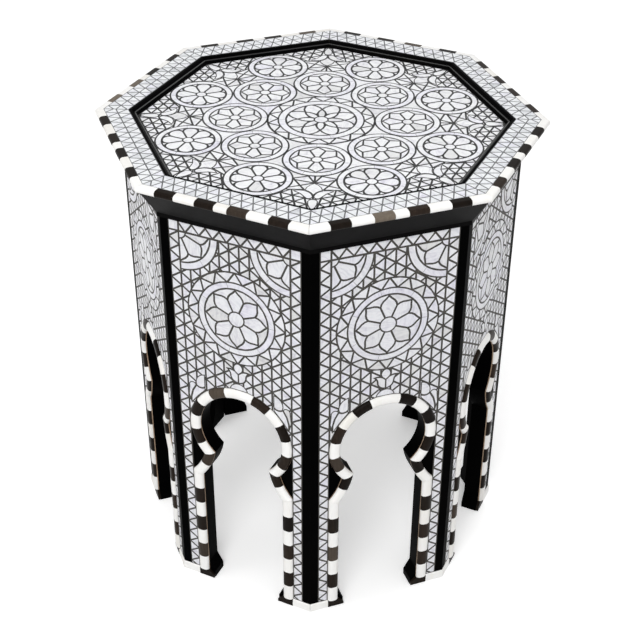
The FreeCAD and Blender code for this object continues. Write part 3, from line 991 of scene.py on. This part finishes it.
def centre_rosette(bm):
    """Eight crossing petals: arcs run from each tip past the next petal down to the eye."""
    eye, crossing, inner, outer, points = 7.1, 24.8, 37.4, 45.3, 56.7
    half = 180 / SIDES
    disc(bm, (0, 0), points + FIELD_LINE, FIELD_BASE, BED, FILLER)
    level = FIELD_BASE + BED
    triangle_ring(bm, (0, 0), outer, points, count=16, line=FIELD_LINE, base=level, first=11.25)
    ring_and_eye(bm, (0, 0), eye, inner, outer, FIELD_LINE, level)
    swell, swell_angle = 19.5, 10.0
    shoulder, shoulder_angle, tip_angle = 32.6, 13.2, 4.0
    left, right = polar(crossing, half), polar(crossing, -half)
    flank = (polar(swell, half - swell_angle), left)
    brow = (polar(shoulder, shoulder_angle), polar(inner, tip_angle))
    petal = [polar(eye, 0), flank, brow, polar(inner, -tip_angle),
             (polar(shoulder, -shoulder_angle), right),
             (polar(swell, swell_angle - half), polar(eye, 0))]
    lens = [polar(eye, 0), flank, (polar(swell, half + swell_angle), polar(eye, 2 * half)),
            (polar(eye, half), polar(eye, 0))]
    spandrel = [left, brow, (polar(inner, half), polar(inner, 2 * half - tip_angle)),
                (polar(shoulder, 2 * half - shoulder_angle), left)]
    for moves in (petal, lens, spandrel):
        tile(bm, moves, level, FIELD_LINE, around=(0, 0), copies=SIDES)


def corner_at(along, aside):
    """Point in one corner of the field: along the line from the middle to it, and aside."""
    turn = math.pi / SIDES
    return (along * math.cos(turn) - aside * math.sin(turn),
            along * math.sin(turn) + aside * math.cos(turn))


def cut_between(bm, a, b, test=None):
    cut(bm, a, math.degrees(math.atan2(b[1] - a[1], b[0] - a[0])), test)


def corner_ground():
    """Pieces of shell between the rosettes in one corner, sawn from one sheet."""
    half = 180 / SIDES
    vertex = polar(FIELD / math.cos(math.pi / SIDES), half)
    corners = [polar(INNER_ROSETTES, half), polar(OUTER_ROSETTES, 0), polar(FIELD, 0), vertex,
               polar(FIELD, 2 * half), polar(OUTER_ROSETTES, 2 * half)]
    bm = outline(corners, FIELD_TOP - FIELD_SHEET)
    thicken(bm, FIELD_SHEET)
    leaf_line, node = 153.2, 139.5
    axis = Vector(corner_at(1, 0))
    across = Vector(corner_at(0, 1))
    cut_between(bm, corner_at(0, 0), corner_at(1, 0))
    cut_between(bm, corner_at(leaf_line, 0), corner_at(leaf_line, 1))
    for side in (1, -1):
        def below(p):
            return axis.dot(p.xy) < leaf_line and side * across.dot(p.xy) > 0

        def above(p):
            return axis.dot(p.xy) > leaf_line and side * across.dot(p.xy) > 0

        # Rays from the foot of the diamond, and the slants from its shoulder to the ring
        rays = [((node, 0), (148.0, 21.0)), ((node, 0), (133.5, 19.9)), ((node, 0), (126.6, 6.1)),
                ((leaf_line, 9.5), (133.5, 19.9)), ((129.75, 18.6), (126.6, 9.25))]
        for ray in rays:
            ends = [corner_at(along, side * aside) for along, aside in ray]
            cut_between(bm, *ends, below)

        # Triangles in rows along the edge
        normal = half + side * half
        row, pitch = 10.0, 12.8
        for depth in (row, 2 * row):
            cut(bm, polar(FIELD - depth, normal), normal + 90, above)
        slope = math.degrees(math.atan2(row, pitch / 2))
        for index in range(1, 7):
            place = polar(index * pitch, normal - side * 90, polar(FIELD - row, normal))
            for lean in (slope, -slope):
                cut(bm, place, normal + 90 + lean, above)
    set_in_filler(bm, front(bm), FIELD_LINE, lift=0.05)
    return bm


def corner_motif(bm):
    """Diamond, two curved leaves and a bud, along the line from the middle to a corner."""
    at = corner_at
    diamond = [at(140.4, 0), (at(146.4, 6.2), at(154.6, 9.0)), (at(158.8, 3.5), at(166.6, 0)),
               (at(158.8, -3.5), at(154.6, -9.0)), (at(146.4, -6.2), at(140.4, 0))]
    bud = [at(193.5, 0), (at(184.5, 4.4), at(177.0, 5.1)), (at(172.2, 0), at(177.0, -5.1)),
           (at(184.5, -4.4), at(193.5, 0))]
    leaves = [[at(166.8, 0.2 * s), (at(171.0, 2.6 * s), at(169.6, 7.6 * s)),
               (at(162.3, 12.2 * s), at(156.0, 20.2 * s)), (at(155.4, 8.6 * s), at(166.8, 0.2 * s))]
              for s in (1, -1)]
    for moves in (diamond, bud, *leaves):
        tile(bm, moves, FIELD_BASE, FIELD_LINE, MOTIF_HEIGHT, around=(0, 0), copies=SIDES)


def field_inlay():
    half = 180 / SIDES
    rosette_places = []
    for index in range(SIDES):
        rosette_places += [polar(OUTER_ROSETTES, 2 * half * index),
                           polar(INNER_ROSETTES, 2 * half * index + half)]
    bm = outline(rosette_places, FIELD_TOP - FIELD_SHEET)
    thicken(bm, FIELD_SHEET)[0].material_index = PEARL
    for index in range(SIDES // 2):
        cut(bm, (0, 0), half + 2 * half * index)
    ground = corner_ground()
    add_part(bm, ground, TURNS)
    ground.free()
    centre_rosette(bm)
    pair = blank()
    rosette(pair, polar(INNER_ROSETTES, half), eye=5.5, seam=20.8, tip=26.9, inner=27.5, outer=34.3,
            side=straight_side, line=FIELD_LINE, base=FIELD_BASE)
    rosette(pair, polar(OUTER_ROSETTES, 0), eye=5.5, seam=19.6, tip=26.9, inner=27.3, outer=33.8,
            side=rounded_side, line=FIELD_LINE, base=FIELD_BASE, gusset=11.0)
    add_part(bm, pair, TURNS)
    pair.free()
    corner_motif(bm)
    give_tones(bm)
    return bm


add_piece("field_inlay", field_inlay(), [field_pearl_painted_lighter, field_filler], "pearl_field", "field_mosaic")


# Tray moulding: eight lengths of hardwood, mitred at the corners and glued between rim and field.
# Black lacquer covers them, rubbed bright on the small bead that runs along the slope.
TRAY_OUTER = 188.4
TRAY_INNER = 180.1
TRAY_FOOT = 511.8
TRAY_LIP = 519.8
LIP_EDGE = 186.0
SLOPE_FOOT = 514.2
BEAD_PLACE = 0.58
BEAD_RADIUS = 0.85
tray_lacquer = lacquer("tray_lacquer", (0.0008, 0.0008, 0.0009), (0.002, 0.0019, 0.0019),
                       rough=0.3, shine=0.006)
bead_lacquer = lacquer("bead_lacquer", (0.0012, 0.0012, 0.0013), (0.003, 0.0028, 0.0028),
                       rough=0.14, shine=0.5)


def tray_length():
    """Length of one side: a lip, a slope with a bead on it, and a low edge against the field."""
    slope = Vector((TRAY_INNER - LIP_EDGE, SLOPE_FOOT - TRAY_LIP))
    centre = Vector((LIP_EDGE, TRAY_LIP)) + BEAD_PLACE * slope
    level = math.degrees(math.atan2(-slope.y, -slope.x))
    bead = [polar(BEAD_RADIUS, level + turn, centre) for turn in range(0, 181, 30)]
    section = [(TRAY_OUTER, TRAY_FOOT), (TRAY_OUTER, TRAY_LIP), (LIP_EDGE, TRAY_LIP), *bead]
    section += [(TRAY_INNER, SLOPE_FOOT), (TRAY_INNER, TRAY_FOOT)]
    corner = TRAY_OUTER * HALF_TAN
    bm = moulded_length(section, -corner - PAST_CORNER, corner + PAST_CORNER)
    for end in (corner, -corner):
        mitre(bm, (0, 0), (end, -TRAY_OUTER), (0, -TRAY_OUTER))
    smooth_rounds(bm, ARRIS)
    for face in bm.faces:
        reach = [(Vector((-vert.co.y, vert.co.z)) - centre).length for vert in face.verts]
        face.material_index = 1 if max(reach) < BEAD_RADIUS * 1.01 else 0
    return bm


one_tray = tray_length()
add_piece("tray_lengths", all_sides([one_tray], TURNS), [tray_lacquer, bead_lacquer],
          "black_lacquer", "tray_moulding")


# Studio: a pale floor that runs past the frame, under a bright even sky.
# Four soft round lamps light the table from the front, the right, above and behind.
def seen_directly(tree):
    """1 where the eye meets a surface, also in a shine or through glass, and 0 for light alone."""
    path = tree.nodes.new("ShaderNodeLightPath")
    seen = path.outputs["Is Camera Ray"]
    for other in ("Is Glossy Ray", "Is Transmission Ray"):
        seen = arithmetic(tree, "MAXIMUM", seen, path.outputs[other])
    return seen


def pale_floor():
    material, tree, bsdf = new_material("studio_floor")
    seen = seen_directly(tree)
    colour = add(tree, "ShaderNodeMix", {"data_type": "RGBA"},
                 Factor=seen, A=FLOOR_IN_LIGHT, B=WHITE)
    wire(tree, bsdf, Base_Color=colour.outputs["Result"], Roughness=1.0, Specular_IOR_Level=0.0,
         Emission_Color=WHITE, Emission_Strength=value_range(tree, seen, 0.0, FLOOR_GLOW))
    return material


WHITE = (1, 1, 1, 1)
FLOOR_IN_LIGHT = (0.68, 0.68, 0.68, 1)
FLOOR_GLOW = 0.34
FLOOR_REACH = 12
SKY_IN_LIGHT, SKY_SEEN = 0.6, 1.0
LAMP_AIM = Vector((0, 0, 0.3))

bm = bmesh.new()
bmesh.ops.create_grid(bm, x_segments=1, y_segments=1, size=FLOOR_REACH)
floor_mesh = bpy.data.meshes.new("studio_floor")
bm.to_mesh(floor_mesh)
bm.free()
floor_mesh.materials.append(pale_floor())
floor = bpy.data.objects.new("studio_floor", floor_mesh)
bpy.context.scene.collection.objects.link(floor)

world = bpy.data.worlds.new("studio_sky")
bpy.context.scene.world = world
world.use_nodes = True
sky = world.node_tree
wire(sky, sky.nodes["Background"], Color=WHITE,
     Strength=value_range(sky, seen_directly(sky), SKY_IN_LIGHT, SKY_SEEN))


def soft_lamp(name, place, size, power):
    lamp = bpy.data.lights.new(name, "AREA")
    lamp.shape = "DISK"
    lamp.size = size
    lamp.energy = power
    holder = bpy.data.objects.new(name, lamp)
    holder.location = place
    holder.rotation_euler = (LAMP_AIM - Vector(place)).to_track_quat("-Z", "Y").to_euler()
    bpy.context.scene.collection.objects.link(holder)


soft_lamp("key_lamp", (0.5, -2.25, 2.2), size=1.6, power=39)
soft_lamp("fill_lamp", (2.2, -1.4, 1.5), size=1.6, power=2)
soft_lamp("top_lamp", (-0.87, -0.92, 2.65), size=0.6, power=5)
soft_lamp("back_lamp", (0.3, 2.0, 2.4), size=1.6, power=6)


# Camera: stands where the photo was taken from, about a metre and a half away and looking down.
# Its distance, angles and focal length come from a fit to the photo.
AZIMUTH, ELEVATION, ROLL = math.radians(25.0), math.radians(34.46), math.radians(0.34)
DISTANCE = 1.5141
TARGET = Vector((0, 0, 0.25706))
SENSOR = 36
FOCAL_PIXELS, FRAME_PIXELS = 1296.9, 640
camera = bpy.data.cameras.new("photo_camera")
camera.sensor_width = SENSOR
camera.lens = SENSOR * FOCAL_PIXELS / FRAME_PIXELS
camera_object = bpy.data.objects.new("photo_camera", camera)
away = Vector((math.sin(AZIMUTH) * math.cos(ELEVATION), -math.cos(AZIMUTH) * math.cos(ELEVATION),
               math.sin(ELEVATION)))
level_right = Vector((math.cos(AZIMUTH), math.sin(AZIMUTH), 0))
level_up = away.cross(level_right)
right = math.cos(ROLL) * level_right + math.sin(ROLL) * level_up
up = math.cos(ROLL) * level_up - math.sin(ROLL) * level_right
placed = Matrix((right, up, away)).transposed().to_4x4()
placed.translation = TARGET + away * DISTANCE
camera_object.matrix_world = placed
bpy.context.scene.collection.objects.link(camera_object)
bpy.context.scene.camera = camera_object
bpy.context.scene.view_settings.view_transform = "Standard"
